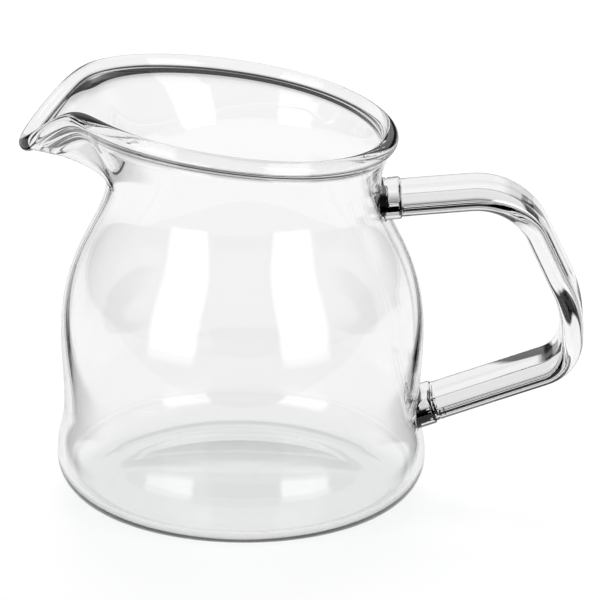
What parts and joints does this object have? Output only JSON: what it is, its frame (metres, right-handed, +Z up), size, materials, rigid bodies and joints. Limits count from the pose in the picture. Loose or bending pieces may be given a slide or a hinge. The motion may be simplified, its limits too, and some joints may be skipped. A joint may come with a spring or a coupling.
{
  "type": "milk jug",
  "caption": "Clear glass milk jug with a wide round body, a narrow neck, a flared rim with a pulled spout, and a strap handle.",
  "frame": {"origin": "on the body's axis, in the plane that the foot stands on", "axes": "+Z up along the body's axis, +X towards the handle, so the spout points to -X; +Y across the jug, away from the camera"},
  "size_m": [0.1343, 0.088, 0.1],
  "materials": {
    "clear_glass": "clear, polished"
  },
  "bodies": {
    "root": {"glass_jug": "clear_glass"}
  },
  "joints": []
}
